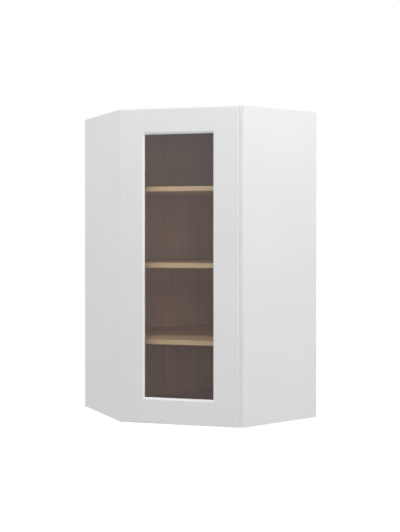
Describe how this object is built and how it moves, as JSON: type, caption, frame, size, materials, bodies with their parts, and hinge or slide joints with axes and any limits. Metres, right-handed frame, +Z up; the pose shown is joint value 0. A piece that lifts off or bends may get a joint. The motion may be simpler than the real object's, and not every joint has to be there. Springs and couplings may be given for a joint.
{
  "type": "corner wall cabinet",
  "caption": "Diagonal corner wall cabinet with a framed glass door on concealed hinges and adjustable shelves, hung on two walls through rails behind its back panels.",
  "frame": {"origin": "where the two walls' faces meet, level with the cabinet's underside: the back bottom corner", "axes": "+X runs along the right-hand wall away from the corner, -Y runs along the left-hand wall, +Z is up; the door looks along (+1, -1, 0)"},
  "size_m": [0.6142, 0.619, 1.0668],
  "materials": {
    "white_paint": "satin white paint on board and solid wood",
    "natural_wood": "clear-coated natural maple veneer",
    "bare_wood": "bare wood",
    "nickel_steel": "nickel plated",
    "clear_glass": "clear float glass",
    "clear_rubber": "clear soft plastic"
  },
  "bodies": {
    "cabinet": {"right_side_panel": "white_paint", "left_side_panel": "white_paint", "top_board": "natural_wood", "bottom_board": "natural_wood", "top_board_edging": "white_paint", "bottom_board_edging": "white_paint", "right_back_panel": "natural_wood", "left_back_panel": "natural_wood", "corner_batten": "bare_wood", "right_lower_hanging_rail": "bare_wood", "right_upper_hanging_rail": "bare_wood", "left_lower_hanging_rail": "bare_wood", "left_upper_hanging_rail": "bare_wood", "rail_dowels": "bare_wood", "back_panel_screws": "nickel_steel", "right_front_stile": "white_paint", "left_front_stile": "white_paint", "right_mitre_spline": "bare_wood", "left_mitre_spline": "bare_wood", "lower_shelf": "natural_wood", "middle_shelf": "natural_wood", "upper_shelf": "natural_wood", "lower_shelf_edging": "natural_wood", "middle_shelf_edging": "natural_wood", "upper_shelf_edging": "natural_wood", "lower_shelf_pins": "nickel_steel", "middle_shelf_pins": "nickel_steel", "upper_shelf_pins": "nickel_steel", "lower_hinge_arm": "nickel_steel", "middle_hinge_arm": "nickel_steel", "upper_hinge_arm": "nickel_steel", "hinge_arm_screws": "nickel_steel"},
    "door": {"door_latch_stile": "white_paint", "door_hinge_stile": "white_paint", "door_bottom_rail": "white_paint", "door_top_rail": "white_paint", "door_dowels": "bare_wood", "door_glass": "clear_glass", "latch_glazing_bead": "white_paint", "hinge_glazing_bead": "white_paint", "bottom_glazing_bead": "white_paint", "top_glazing_bead": "white_paint", "glazing_brads": "nickel_steel", "door_bumpers": "clear_rubber", "lower_hinge_cup": "nickel_steel", "middle_hinge_cup": "nickel_steel", "upper_hinge_cup": "nickel_steel", "hinge_pins": "nickel_steel", "hinge_springs": "nickel_steel", "hinge_cup_screws": "nickel_steel"}
  },
  "joints": [
    {"name": "door_swing", "type": "hinge", "parent": "cabinet", "child": "door", "pos_m": [0.60352, -0.32686, 0.5334], "axis": [0, 0, 1], "range_deg": [0, 105]}
  ]
}
